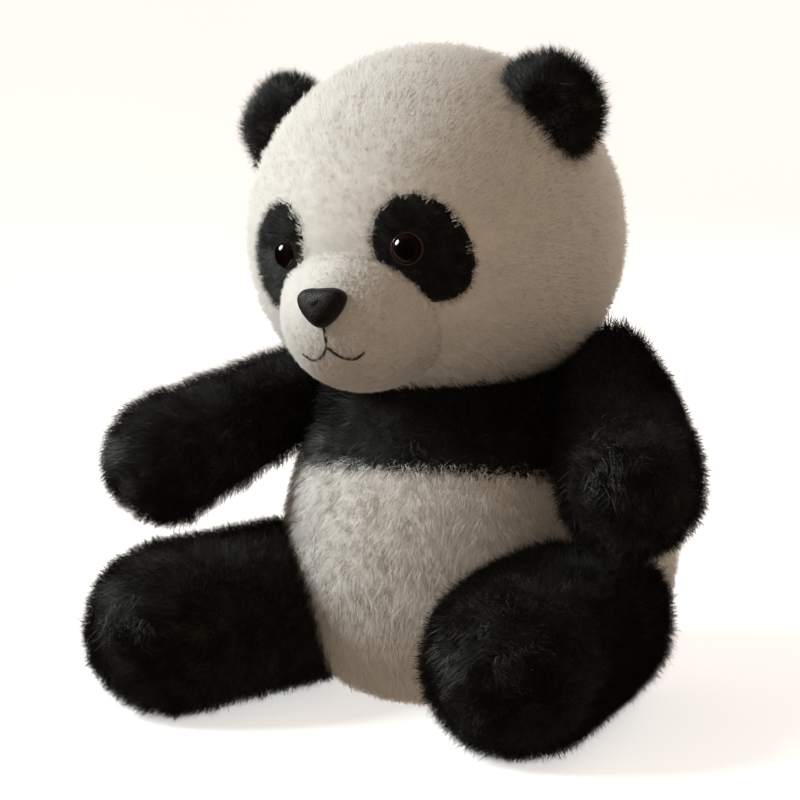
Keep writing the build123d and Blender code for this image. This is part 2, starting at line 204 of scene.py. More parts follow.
def link(name, bm):
    """Makes a linked, smooth-shaded object of a bmesh and frees it."""
    bmesh.ops.recalc_face_normals(bm, faces=bm.faces)
    for face in bm.faces:
        face.smooth = True
    mesh = bpy.data.meshes.new(name)
    bm.to_mesh(mesh)
    bm.free()
    obj = bpy.data.objects.new(name, mesh)
    SCENE.collection.objects.link(obj)
    return obj


def fill_pits(bm, reach):
    """Lifts points that fell into a stem hole back to their neighbours' distance from the core."""
    for _ in range(4):
        for v, (base, out, far) in list(reach.items()):
            near = [reach[e.other_vert(v)][2] for e in v.link_edges]
            level = sorted(near)[len(near) // 2]
            if far < level - 1.5 * MM:
                reach[v] = (base, out, level)
    for v, (base, out, far) in reach.items():
        v.co = base + out * far


def wrap(name, nodes, core, offset, level=5):
    """A closed sheet drawn onto the outside of CAD nodes from a core line inside them."""
    tree = solid_tree(nodes)
    start, end = Vector(core[0]), Vector(core[1])
    along = (end - start).normalized()
    bm = bmesh.new()
    bmesh.ops.create_icosphere(bm, subdivisions=level, radius=1)
    reach = {}
    for v in bm.verts:
        out = v.co.normalized()
        base = start.lerp(end, 0.5 + 0.5 * out.dot(along))
        hit = tree.ray_cast(base + out * CAST_REACH, -out)[0]
        far = (hit - base).length if hit else 0
        reach[v] = (base, out, far + offset)
    fill_pits(bm, reach)
    return link(name, bm)


def coordinates(obj):
    points = np.zeros(len(obj.data.vertices) * 3)
    obj.data.vertices.foreach_get("co", points)
    return points.reshape(-1, 3)


def set_coordinates(obj, points):
    obj.data.vertices.foreach_set("co", points.ravel())
    obj.data.update()


def vertex_normals(obj):
    normals = np.zeros(len(obj.data.vertices) * 3)
    obj.data.vertices.foreach_get("normal", normals)
    return normals.reshape(-1, 3)


def stuff(objs, cap):
    """Fills closed sheets as fibre does: cloth under pressure, held near the shape it was cut to."""
    for obj in objs:
        cloth = obj.modifiers.new("stuffing", "CLOTH")
        cloth.settings.use_pressure = True
        cloth.settings.uniform_pressure_force = STUFF_PRESSURE
        cloth.settings.effector_weights.gravity = 0
        cloth.settings.quality = 4
        cloth.collision_settings.use_collision = False
    for step in range(1, STUFF_FRAMES + 1):
        SCENE.frame_set(step)
    graph = bpy.context.evaluated_depsgraph_get()
    swollen = {}
    for obj in objs:
        cut = coordinates(obj)
        moved = np.zeros(len(cut) * 3)
        obj.evaluated_get(graph).data.vertices.foreach_get("co", moved)
        shift = moved.reshape(-1, 3) - cut
        size = np.maximum(np.linalg.norm(shift, axis=1, keepdims=True), 1e-9)
        swollen[obj] = cut + shift * np.minimum(1, cap / size)
    for obj, points in swollen.items():
        obj.modifiers.remove(obj.modifiers["stuffing"])
        set_coordinates(obj, points)
    SCENE.frame_set(1)


def baked(obj):
    """Replaces an object's mesh by its evaluated mesh and drops the modifiers."""
    graph = bpy.context.evaluated_depsgraph_get()
    mesh = bpy.data.meshes.new_from_object(obj.evaluated_get(graph), depsgraph=graph)
    obj.modifiers.clear()
    obj.data = mesh
    return obj


def subdivide(obj, levels=1):
    modifier = obj.modifiers.new("smooth", "SUBSURF")
    modifier.levels = modifier.render_levels = levels
    return baked(obj)


def scaled_core(core, side):
    return [(side * x * MM, y * MM, z * MM) for x, y, z in core]


# ---- the padded skins ------------------------------------------------------------------------------
def head_form():
    return wrap("head", ["head_skin", "head_stuffing", "neck_disc"], HEAD_CORE, WHITE_BACKING, 6)


def torso_form():
    return wrap(
        "torso",
        ["torso_lower_skin", "torso_upper_skin", "torso_stuffing"], TORSO_CORE, WHITE_BACKING, 6,
    )


def limb_form(kind, name, side):
    joint, core = {"arm": ("shoulder", ARM_CORE), "leg": ("hip", LEG_CORE)}[kind]
    nodes = [f"{kind}_skin_{name}", f"{kind}_stuffing_{name}", f"{joint}_{name}_disc"]
    return wrap(f"{kind}_{name}", nodes, scaled_core(core, side), BLACK_BACKING)


def ear_form(name):
    low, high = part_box(f"ear_skin_{name}")
    middle = (low + high) / 2
    nodes = [f"ear_skin_{name}", f"ear_padding_{name}"]
    return wrap(f"ear_{name}", nodes, (middle, middle), BLACK_BACKING * 0.6, 4)


def ray_to_oval(base, out, middle, radii):
    """Distance along a ray from inside an ellipsoid to its surface."""
    p = Vector([(b - m) / r for b, m, r in zip(base, middle, radii)])
    d = Vector([o / r for o, r in zip(out, radii)])
    a, b, c = d.dot(d), 2 * p.dot(d), p.dot(p) - 1
    return (-b + math.sqrt(b * b - 4 * a * c)) / (2 * a)


def smooth_step(t):
    t = min(1, max(0, t))
    return t * t * (3 - 2 * t)


def muzzle_form(head_tree):
    """An oval dome that flares softly into the cheeks at its seam and stays closed behind it."""
    bm = bmesh.new()
    bmesh.ops.create_icosphere(bm, subdivisions=6, radius=1)
    for v in bm.verts:
        out = v.co.normalized()
        own = ray_to_oval(MUZZLE_CORE, out, MUZZLE_MIDDLE, MUZZLE_RADII)
        hit = head_tree.ray_cast(MUZZLE_CORE + out * CAST_REACH, -out)[0]
        head = (hit - MUZZLE_CORE).length
        joined = 0.5 * (own + head + math.hypot(own - head, MUZZLE_FLARE))
        share = smooth_step((own - head + MUZZLE_FLARE) / MUZZLE_FLARE)
        v.co = MUZZLE_CORE + out * (own + (joined - own) * share)
    return link("muzzle", bm)


# ---- pile ----------------------------------------------------------------------------------------
ARCH = 0.06                    # how far a guard hair arches out, as a share of its length
SPIN = 0.35                    # how far a tuft's fibres may turn from facing outward, in radians
LOWEST = 0.2 * MM              # no fibre reaches through the surface the toy sits on
PILE_FIELDS = ("tone", "comb", "length", "cover", "skin_normal")
# how far the fibres of each pile take the light as the skin under them does
SOFT_SHADE = {"white_pile": 0.83, "black_pile": 0.5, "nap_pile": 0.97}
# tufts per square metre, how long they stand, and how far each strays from its neighbours
TUFTS = {"head": 0.27e6, "ear": 0.26e6, "patch": 0.34e6, "muzzle": 1.3e6, "belly": 0.245e6,
         "yoke": 0.155e6, "limb": 0.185e6}
PILE = {"head": 4.2 * MM, "ear": 6.0 * MM, "patch": 3.0 * MM, "muzzle": 1.5 * MM, "belly": 4.6 * MM}
RUFFLE = {"head": 0.28, "belly": 0.34, "black": 0.4, "muzzle": 0.4}


def tuft(name, under, guard, root, converge, width, spread, seed):
    """A tuft one unit long along Z whose faces look along X: straight underfur and arched guard hairs."""
    rng = np.random.default_rng(seed)
    bm = bmesh.new()
    for number in range(under + guard):
        turn, far = rng.uniform(0, 2 * math.pi), root * math.sqrt(rng.uniform(0, 1))
        foot = Vector((far * math.cos(turn), far * math.sin(turn), -0.05))
        reach = rng.uniform(0.55, 0.95) if number < under else rng.uniform(0.9, 1.15)
        jitter = Vector((rng.normal(0, 1) * 0.6, rng.normal(0, 1), 0)) * spread
        tip = Vector((foot.x * converge, foot.y * converge, reach)) + jitter
        facing = rng.normal(0, 0.3)
        out = Vector((math.cos(facing), math.sin(facing), 0))
        across = Vector((-out.y, out.x, 0)) * width
        low = [bm.verts.new(foot - across), bm.verts.new(foot + across)]
        top = bm.verts.new(tip)
        if number >= under:
            middle = foot.lerp(tip, 0.55) + out * ARCH * reach
            high = [bm.verts.new(middle - across * 0.8), bm.verts.new(middle + across * 0.8)]
            bm.faces.new((low[0], low[1], high[1], high[0]))
            low = high
        bm.faces.new((low[0], low[1], top))
    mesh = bpy.data.meshes.new(name)
    for face in bm.faces:
        face.smooth = True
    bm.to_mesh(mesh)
    bm.free()
    obj = bpy.data.objects.new(name, mesh)
    SCENE.collection.objects.link(obj)
    obj.hide_render = True
    return obj


def named_input(tree, name, kind):
    return tree.interface.new_socket(name, in_out="INPUT", socket_type=kind).identifier


def attribute_node(tree, name, kind):
    node = tree.nodes.new("GeometryNodeInputNamedAttribute")
    node.data_type = kind
    node.inputs["Name"].default_value = name
    return node.outputs["Attribute"]


def random_node(tree, kind, low, high, seed):
    node = tree.nodes.new("FunctionNodeRandomValue")
    node.data_type = kind
    picked = {"FLOAT": 2, "INT": 4, "FLOAT_VECTOR": 0}[kind]
    node.inputs[picked].default_value = low
    node.inputs[picked + 1].default_value = high
    node.inputs["Seed"].default_value = seed
    return node.outputs[{"FLOAT": 1, "INT": 2, "FLOAT_VECTOR": 0}[kind]]


def pile_tree(name, tufts, tones, weights):
    """Grows tufts on a skin along its "comb" attribute, "length" long, as thick as "cover" says."""
    tree = bpy.data.node_groups.new(name, "GeometryNodeTree")
    named_input(tree, "Skin", "NodeSocketGeometry")
    names = {
        "density": named_input(tree, "Tufts per square metre", "NodeSocketFloat"),
        "jitter": named_input(tree, "Ruffle", "NodeSocketFloat"),
        "seed": named_input(tree, "Seed", "NodeSocketInt"),
    }
    tree.interface.new_socket("Pile", in_out="OUTPUT", socket_type="NodeSocketGeometry")
    make, join = tree.nodes.new, tree.links.new
    entry, leave = make("NodeGroupInput"), make("NodeGroupOutput")

    def maths(operation, a, b, vector=False):
        node = make("ShaderNodeVectorMath" if vector else "ShaderNodeMath")
        node.operation = operation
        join(a, node.inputs[0])
        join(b, node.inputs["Scale"] if operation == "SCALE" else node.inputs[1])
        return node.outputs[0]

    scatter = make("GeometryNodeDistributePointsOnFaces")
    scatter.distribute_method = "RANDOM"
    join(entry.outputs["Skin"], scatter.inputs["Mesh"])
    cover = attribute_node(tree, "cover", "FLOAT")
    join(maths("MULTIPLY", entry.outputs["Tufts per square metre"], cover), scatter.inputs["Density"])
    join(entry.outputs["Seed"], scatter.inputs["Seed"])

    shake = maths("SCALE", random_node(tree, "FLOAT_VECTOR", (-1, -1, -1), (1, 1, 1), 3),
                  entry.outputs["Ruffle"], vector=True)
    lie = make("FunctionNodeAlignRotationToVector")
    lie.axis = "Z"
    comb = attribute_node(tree, "comb", "FLOAT_VECTOR")
    join(maths("ADD", comb, shake, vector=True), lie.inputs["Vector"])
    face_out = make("FunctionNodeAlignRotationToVector")
    face_out.axis, face_out.pivot_axis = "X", "Z"
    join(lie.outputs["Rotation"], face_out.inputs["Rotation"])
    join(scatter.outputs["Normal"], face_out.inputs["Vector"])
    spin = make("FunctionNodeAxisAngleToRotation")
    spin.inputs["Axis"].default_value = (0, 0, 1)
    join(random_node(tree, "FLOAT", -SPIN, SPIN, 5), spin.inputs["Angle"])
    turn = make("FunctionNodeRotateRotation")
    turn.rotation_space = "LOCAL"
    join(face_out.outputs["Rotation"], turn.inputs["Rotation"])
    join(spin.outputs["Rotation"], turn.inputs["Rotate By"])

    variants = make("GeometryNodeJoinGeometry")
    for obj in tufts:
        info, wrap_up = make("GeometryNodeObjectInfo"), make("GeometryNodeGeometryToInstance")
        info.inputs["Object"].default_value = obj
        join(info.outputs["Geometry"], wrap_up.inputs[0])
        join(wrap_up.outputs[0], variants.inputs[0])
    plant = make("GeometryNodeInstanceOnPoints")
    plant.inputs["Pick Instance"].default_value = True
    join(scatter.outputs["Points"], plant.inputs["Points"])
    join(variants.outputs[0], plant.inputs["Instance"])
    join(random_node(tree, "INT", 0, len(tufts) - 1, 7), plant.inputs["Instance Index"])
    join(turn.outputs["Rotation"], plant.inputs["Rotation"])
    size = maths("MULTIPLY", attribute_node(tree, "length", "FLOAT"),
                 random_node(tree, "FLOAT", 0.8, 1.15, 9))
    join(size, plant.inputs["Scale"])

    tone = make("GeometryNodeStoreNamedAttribute")
    tone.data_type, tone.domain = "FLOAT", "INSTANCE"
    tone.inputs["Name"].default_value = "tone"
    join(plant.outputs[0], tone.inputs["Geometry"])
    join(random_node(tree, "FLOAT", 0, 1, 11), tone.inputs["Value"])
    under = make("GeometryNodeStoreNamedAttribute")
    under.data_type, under.domain = "FLOAT_VECTOR", "INSTANCE"
    under.inputs["Name"].default_value = "skin_normal"
    join(tone.outputs[0], under.inputs["Geometry"])
    join(scatter.outputs["Normal"], under.inputs["Value"])
    realize = make("GeometryNodeRealizeInstances")
    join(under.outputs[0], realize.inputs[0])
    last = realize.outputs[0]
    share = 0
    for material, weight in zip(tones, weights):
        paint = make("GeometryNodeSetMaterial")
        paint.inputs["Material"].default_value = material
        above = make("FunctionNodeCompare")
        above.data_type, above.operation = "FLOAT", "GREATER_EQUAL"
        join(attribute_node(tree, "tone", "FLOAT"), above.inputs[0])
        above.inputs[1].default_value = share
        join(above.outputs[0], paint.inputs["Selection"])
        join(last, paint.inputs["Geometry"])
        last = paint.outputs[0]
        share += weight
    join(last, leave.inputs[0])
    return tree, names


def unit(vectors):
    return vectors / np.maximum(np.linalg.norm(vectors, axis=1, keepdims=True), 1e-12)


def noise_field(points, size, seed):
    """A smooth random vector at each point; size is the width of one swirl."""
    shift = Vector((seed * 7.3, seed * 3.1, seed * 5.7))
    return np.array([noise.noise_vector(Vector(p) / size + shift) for p in points])


def groom(obj, flow, lean, swirl, swirl_size, length, cover, seed):
    """Stores how the pile lies on a skin: its direction, its length and how thickly it grows."""
    points, normals = coordinates(obj), vertex_normals(obj)
    flows = unit(flow(points)) + noise_field(points, swirl_size, seed) * swirl
    flows -= normals * np.sum(flows * normals, axis=1, keepdims=True)
    flows = unit(flows)
    leans = lean(points) if callable(lean) else lean
    leans = np.broadcast_to(leans, len(points))[:, None]
    comb = unit(normals * (1 - leans) + flows * leans)
    mesh = obj.data
    mesh.attributes.new("comb", "FLOAT_VECTOR", "POINT").data.foreach_set("vector", comb.ravel())
    for name, field in (("length", length), ("cover", cover)):
        values = field(points) if callable(field) else field
        values = np.ascontiguousarray(np.broadcast_to(values, len(points)), dtype=np.float32)
        mesh.attributes.new(name, "FLOAT", "POINT").data.foreach_set("value", values)


def grow(obj, name, tree, density, ruffle, seed):
    """Grows one pile piece on a groomed skin and returns it as a plain mesh object."""
    group, names = tree
    holder = bpy.data.objects.new(name, obj.data.copy())
    SCENE.collection.objects.link(holder)
    modifier = holder.modifiers.new("pile", "NODES")
    modifier.node_group = group
    modifier[names["density"]] = density
    modifier[names["jitter"]] = ruffle
    modifier[names["seed"]] = seed
    baked(holder)
    mesh = holder.data
    mesh.name = name
    soft = np.zeros(len(mesh.vertices) * 3)
    mesh.attributes["skin_normal"].data.foreach_get("vector", soft)
    share = SOFT_SHADE[group.name]
    shade = unit(vertex_normals(holder) * (1 - share) + soft.reshape(-1, 3) * share)
    for attribute in [a.name for a in mesh.attributes if a.name in PILE_FIELDS]:
        mesh.attributes.remove(mesh.attributes[attribute])
    points = coordinates(holder)
    points[:, 2] = np.maximum(points[:, 2], LOWEST)
    set_coordinates(holder, points)
    mesh.normals_split_custom_set_from_vertices(shade)
    return holder


def inside(tree, points, margin=0.0):
    """True for each point that lies within a closed form, or closer to it than a margin."""
    found = []
    for p in points:
        near, normal, _, far = tree.find_nearest(Vector(p))
        found.append((Vector(p) - near).dot(normal) < margin)
    return np.array(found)


# ---- face -----------------------------------------------------------------------------------------
def lathe(name, profile, steps, origin, out):
    """A solid of revolution about an outward axis; the profile is (radius, height), pole last."""
    up = Vector((0, 0, 1))
    right = up.cross(out).normalized()
    top = out.cross(right)
    bm = bmesh.new()
    layer = bm.loops.layers.uv.new("dome")
    rings = []
    for radius, height in profile[:-1]:
        ring = []
        for k in range(steps):
            turn = 2 * math.pi * k / steps
            spoke = right * math.cos(turn) + top * math.sin(turn)
            ring.append(bm.verts.new(origin + out * height + spoke * radius))
        rings.append(ring)
    pole = bm.verts.new(origin + out * profile[-1][1])
    foot = bm.verts.new(origin + out * profile[0][1])
    faces = []
    for low, high in zip(rings, rings[1:]):
        for k in range(steps):
            faces.append(bm.faces.new((low[k], low[(k + 1) % steps], high[(k + 1) % steps], high[k])))
    for k in range(steps):
        faces.append(bm.faces.new((rings[-1][k], rings[-1][(k + 1) % steps], pole)))
        faces.append(bm.faces.new((rings[0][(k + 1) % steps], rings[0][k], foot)))
    widest = max(radius for radius, _ in profile)
    for face in faces:
        for loop in face.loops:
            away = loop.vert.co - origin
            side = away - out * away.dot(out)
            loop[layer].uv = (side.length / widest, 0.5)
    return link(name, bm)


def eye_material():
    """Dark brown glass-like dome that turns amber at its clear rim."""
    material = new_material("eye_gloss", Base_Color=(0.01, 0.006, 0.005), Roughness=0.10,
                            Coat_Weight=0.3, Coat_Roughness=0.03, Specular_IOR_Level=0.5)
    tree, shader = nodes_of(material)
    chart = tree.nodes.new("ShaderNodeUVMap")
    chart.uv_map = "dome"
    split = tree.nodes.new("ShaderNodeSeparateXYZ")
    tree.links.new(chart.outputs["UV"], split.inputs[0])
    colour = ramp(tree, split.outputs["X"], [
        (0.0, (0.003, 0.002, 0.002)), (0.45, (0.004, 0.002, 0.002)), (0.78, (0.016, 0.007, 0.005)),
        (0.90, (0.006, 0.0035, 0.003)), (0.955, (0.13, 0.085, 0.065)),
    ])
    tree.links.new(colour, shader.inputs["Base Color"])
    return material


EYE_R = 6.3 * MM
EYE_RISE = 4.4 * MM
EYE_SHIFT = Vector((1.2 * MM, 0, 0))    # both eyes are set by hand a touch toward one side
EYE_SINK = 0.9 * MM            # how deep the pull of its washer seats the eye in the pile


def make_eye(name, material):
    """A domed safety eye with a thin bead round its rim, on the CAD eye's own axis."""
    points, _ = mesh_arrays(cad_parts[f"eye_{name}"].data)
    away = points - np.array(HEAD_AXIS)
    apex = Vector(points[np.argmax(np.hypot(away[:, 0], away[:, 1]))])
    out = Vector((apex.x, apex.y - HEAD_AXIS.y, 0)).normalized()
    seat = apex - out * (EYE_RISE + EYE_SINK) + EYE_SHIFT
    ball = (EYE_R**2 + EYE_RISE**2) / (2 * EYE_RISE)
    profile = [(EYE_R * 0.90, -1.6 * MM), (EYE_R, -1.3 * MM), (EYE_R * 1.02, -0.3 * MM), (EYE_R, 0.25 * MM),
               (EYE_R * 0.955, 0.55 * MM), (EYE_R * 0.92, 0.62 * MM)]
    for step in range(1, 14):
        radius = EYE_R * 0.92 * (1 - step / 14)
        profile.append((radius, math.sqrt(ball**2 - radius**2) - ball + EYE_RISE))
    profile.append((0, EYE_RISE))
    eye = lathe(f"safety_eye_{name}", profile, 48, seat, out)
    subdivide(eye)
    eye.data.materials.append(material)
    return eye, seat, out


def nose_material():
    """Pebbled dark brown plastic, polished unevenly in patches."""
    material = new_material("nose_pebble", Base_Color=(0.02, 0.016, 0.015), Roughness=0.5,
                            Specular_IOR_Level=0.35)
    tree, shader = nodes_of(material)
    place = object_coordinates(tree)
    cells = tree.nodes.new("ShaderNodeTexVoronoi")
    cells.inputs["Scale"].default_value = 1500
    tree.links.new(place, cells.inputs["Vector"])
    browns = [(0.3, (0.010, 0.0088, 0.008)), (0.7, (0.024, 0.020, 0.018))]
    tree.links.new(ramp(tree, noise_on(tree, place, 300), browns), shader.inputs["Base Color"])
    wear = [(0.3, (0.44,) * 3), (0.7, (0.62,) * 3)]
    tree.links.new(ramp(tree, noise_on(tree, place, 500), wear), shader.inputs["Roughness"])
    bump(tree, shader, cells.outputs["Distance"], 0.6, 0.3 * MM)
    return material


NOSE_OUTLINE = [               # right half of the nose seen from the front, in millimetres
    (0, 6.7), (5.0, 7.0), (8.9, 6.1), (11.0, 3.6), (10.3, 0.2),
    (7.8, -3.5), (4.5, -6.7), (1.7, -8.4), (0, -8.6),
]
NOSE_RINGS = [                 # (share of the outline, height in millimetres) from the foot to the crown
    (0.80, -2.2), (0.93, -1.4), (0.99, 0.0), (1.0, 1.2), (0.97, 2.7),
    (0.90, 4.1), (0.78, 5.3), (0.62, 6.15), (0.42, 6.7), (0.2, 6.95),
]
NOSE_RISE = 8.0 * MM
NOSE_CROWN = 0.6 * MM          # how much the crown sits toward the broad side


def smooth_loop(points, rounds=3):
    """Rounds a closed polygon by repeated corner cutting."""
    for _ in range(rounds):
        cut = []
        for a, b in zip(points, points[1:] + points[:1]):
            cut += [a.lerp(b, 0.25), a.lerp(b, 0.75)]
        points = cut
    return points


def make_nose():
    """A crowned, rounded triangle, broad side up, standing on the muzzle; gives its seat too."""
    low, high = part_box("nose")
    out = Vector((0, -math.cos(NOSE_TILT), math.sin(NOSE_TILT)))
    up = Vector((0, math.sin(NOSE_TILT), math.cos(NOSE_TILT)))
    right = Vector((1, 0, 0))
    seat = Vector((0, low.y, (low.z + high.z) / 2)) - out * NOSE_RISE * 0.80
    half = [Vector((x * MM, z * MM)) for x, z in NOSE_OUTLINE]
    outline = smooth_loop(half + [Vector((-p.x, p.y)) for p in half[-2:0:-1]], 2)
    bm = bmesh.new()
    rings = []
    for share, height in NOSE_RINGS:
        ring = []
        for p in outline:
            rise = p.y * share + NOSE_CROWN * (1 - share)
            ring.append(bm.verts.new(seat + out * (height * MM) + right * p.x * share + up * rise))
        rings.append(ring)
    pole = bm.verts.new(seat + out * NOSE_RISE + up * NOSE_CROWN)
    foot = bm.verts.new(seat - out * 2.2 * MM)
    count = len(outline)
    for lower, upper in zip(rings, rings[1:]):
        for k in range(count):
            bm.faces.new((lower[k], lower[(k + 1) % count], upper[(k + 1) % count], upper[k]))
    for k in range(count):
        bm.faces.new((rings[-1][k], rings[-1][(k + 1) % count], pole))
        bm.faces.new((rings[0][(k + 1) % count], rings[0][k], foot))
    nose = link("nose_moulding", bm)
    subdivide(nose)
    nose.data.materials.append(nose_material())
    return nose, seat


STITCH_LENGTH = 0.95 * MM
THREAD_RADIUS = 0.62 * MM
THREAD_LIFT = 1.15 * MM        # the thread lies on top of the nap
MOUTH_LINES = [                # (x, z) of the thread, in millimetres; each line is one run of stitches
    [(0, 161.0), (0.3, 158.0), (0.1, 154.5), (0, 151.5)],
    [(0, 151.8), (2.0, 149.4), (5.6, 147.1), (10.4, 146.4), (13.4, 148.9)],
    [(0, 151.8), (-2.0, 149.4), (-5.6, 147.1), (-10.4, 146.4), (-13.4, 148.9)],
]


def stitch_tree(material):
    """Lays short overlapping stitches end to end along a curve."""
    tree = bpy.data.node_groups.new("back_stitch", "GeometryNodeTree")
    named_input(tree, "Thread line", "NodeSocketGeometry")
    names = {
        "pitch": named_input(tree, "Stitch length", "NodeSocketFloat"),
        "radius": named_input(tree, "Thread radius", "NodeSocketFloat"),
    }
    tree.interface.new_socket("Stitches", in_out="OUTPUT", socket_type="NodeSocketGeometry")
    make, join = tree.nodes.new, tree.links.new
    entry, leave = make("NodeGroupInput"), make("NodeGroupOutput")
    sample = make("GeometryNodeResampleCurve")
    sample.mode = "LENGTH"
    join(entry.outputs["Thread line"], sample.inputs["Curve"])
    join(entry.outputs["Stitch length"], sample.inputs["Length"])
    bead = make("GeometryNodeMeshUVSphere")
    bead.inputs["Segments"].default_value = 8
    bead.inputs["Rings"].default_value = 6
    bead.inputs["Radius"].default_value = 1
    smooth = make("GeometryNodeSetShadeSmooth")
    join(bead.outputs["Mesh"], smooth.inputs["Geometry"])
    tangent = make("GeometryNodeInputTangent")
    lie = make("FunctionNodeAlignRotationToVector")
    lie.axis = "Z"
    join(tangent.outputs[0], lie.inputs["Vector"])
    size = make("ShaderNodeCombineXYZ")
    longer = make("ShaderNodeMath")
    longer.operation = "MULTIPLY"
    longer.inputs[1].default_value = 0.78
    join(entry.outputs["Stitch length"], longer.inputs[0])
    join(entry.outputs["Thread radius"], size.inputs["X"])
    join(entry.outputs["Thread radius"], size.inputs["Y"])
    join(longer.outputs[0], size.inputs["Z"])
    plant = make("GeometryNodeInstanceOnPoints")
    join(sample.outputs["Curve"], plant.inputs["Points"])
    join(smooth.outputs[0], plant.inputs["Instance"])
    join(lie.outputs["Rotation"], plant.inputs["Rotation"])
    join(size.outputs[0], plant.inputs["Scale"])
    realize, paint = make("GeometryNodeRealizeInstances"), make("GeometryNodeSetMaterial")
    paint.inputs["Material"].default_value = material
    join(plant.outputs[0], realize.inputs[0])
    join(realize.outputs[0], paint.inputs["Geometry"])
    join(paint.outputs[0], leave.inputs[0])
    return tree, names


def make_mouth(muzzle_tree):
    """Three runs of black thread laid on the muzzle."""
    thread = new_material("mouth_thread", Base_Color=(0.012, 0.010, 0.010), Roughness=0.55,
                          Sheen_Weight=0.2)
    tree, shader = nodes_of(thread)
    twist = noise_on(tree, object_coordinates(tree), 2500, 2)
    blacks = [(0.3, (0.006, 0.005, 0.005)), (0.7, (0.022, 0.019, 0.018))]
    tree.links.new(ramp(tree, twist, blacks), shader.inputs["Base Color"])
    curve = bpy.data.curves.new("mouth_line", "CURVE")
    curve.dimensions = "3D"
    for line in MOUTH_LINES:
        spline = curve.splines.new("NURBS")
        spline.points.add(len(line) - 1)
        for point, (x, z) in zip(spline.points, line):
            hit = muzzle_tree.ray_cast(Vector((x * MM, -CAST_REACH, z * MM)), Vector((0, 1, 0)))
            point.co = (*(hit[0] + hit[1] * THREAD_LIFT), 1)
        spline.order_u = 3
        spline.use_endpoint_u = True
        spline.resolution_u = 12
    mouth = bpy.data.objects.new("mouth_stitching", curve)
    SCENE.collection.objects.link(mouth)
    group, names = stitch_tree(thread)
    modifier = mouth.modifiers.new("stitches", "NODES")
    modifier.node_group = group
    modifier[names["pitch"]] = STITCH_LENGTH
    modifier[names["radius"]] = THREAD_RADIUS
    graph = bpy.context.evaluated_depsgraph_get()
    mesh = bpy.data.meshes.new_from_object(mouth.evaluated_get(graph), depsgraph=graph)
    bpy.data.objects.remove(mouth)
    obj = bpy.data.objects.new("mouth_stitching", mesh)
    SCENE.collection.objects.link(obj)
    return obj


# ---- building it all -----------------------------------------------------------------------------
head = head_form()
torso = torso_form()
ears = {name: ear_form(name) for name in SIDES}
limbs = {(kind, name): limb_form(kind, name, side)
         for kind in ("arm", "leg") for name, side in SIDES.items()}
stuff([head, torso, *ears.values(), *limbs.values()], STUFF_CAP)
for form in (*ears.values(), *limbs.values()):
    subdivide(form)
for form in (torso, *limbs.values()):
    resting = coordinates(form)
    resting[:, 2] = np.maximum(resting[:, 2], SEAT)
    set_coordinates(form, resting)
head_tree = tree_of(head)
muzzle = muzzle_form(head_tree)
muzzle_tree = tree_of(muzzle)


def yoke_edge(points):
    """Height of the black yoke's edge over any point of the torso."""
    return YOKE_EDGE_Z - YOKE_DIP * np.clip(np.abs(points[:, 0]) / (70 * MM), 0, 1) ** 2


def part_of_torso(name, above):
    """The torso's skin above or below the yoke's edge, turned in at the seam and closed."""
    bm = bmesh.new()
    bm.from_mesh(torso.data)
    bm.verts.ensure_lookup_table()
    points = np.array([v.co for v in bm.verts])
    edge = yoke_edge(points)
    for v, height in zip(bm.verts, edge):
        if abs(v.co.z - height) < SEAM_SNAP:
            v.co.z = height
    drop = []
    for face in bm.faces:
        middle = face.calc_center_median()
        if (middle.z > yoke_edge(np.array([middle]))[0]) != above:
            drop.append(face)
    bmesh.ops.delete(bm, geom=drop, context="FACES")
    rim = [e for e in bm.edges if e.is_boundary]
    lip = bmesh.ops.extrude_edge_only(bm, edges=rim)["geom"]
    for v in [g for g in lip if isinstance(g, bmesh.types.BMVert)]:
        inward = Vector((v.co.x, v.co.y, 0)).normalized()
        v.co -= inward * SEAM_ALLOWANCE
    bmesh.ops.holes_fill(bm, edges=[e for e in bm.edges if e.is_boundary])
    bmesh.ops.triangulate(bm, faces=[f for f in bm.faces if len(f.verts) > 4])
    return link(name, bm)


belly = part_of_torso("belly", False)
yoke = part_of_torso("yoke", True)
bpy.data.objects.remove(torso)

eye_gloss = eye_material()
eyes = {name: make_eye(name, eye_gloss) for name in SIDES}
nose, nose_seat = make_nose()
mouth = make_mouth(muzzle_tree)

# ---- eye patches: a layer of black pile lying on the head ------------------------------------------
PATCH = {"x": 33.0 * MM, "z": 186.5 * MM, "wide": 16.2 * MM, "high": 21.7 * MM, "lean": math.radians(22)}


def patch_share(points, side):
    """How far out each point lies in the patch's oval: 1 is its edge."""
    x, z = points[:, 0] - side * PATCH["x"], points[:, 2] - PATCH["z"]
    c, s = math.cos(PATCH["lean"]), side * math.sin(PATCH["lean"])
    across, along = x * c + z * s, -x * s + z * c
    share = np.hypot(across / PATCH["wide"], along / PATCH["high"])
    return np.where(points[:, 1] < HEAD_AXIS.y, share, 9)


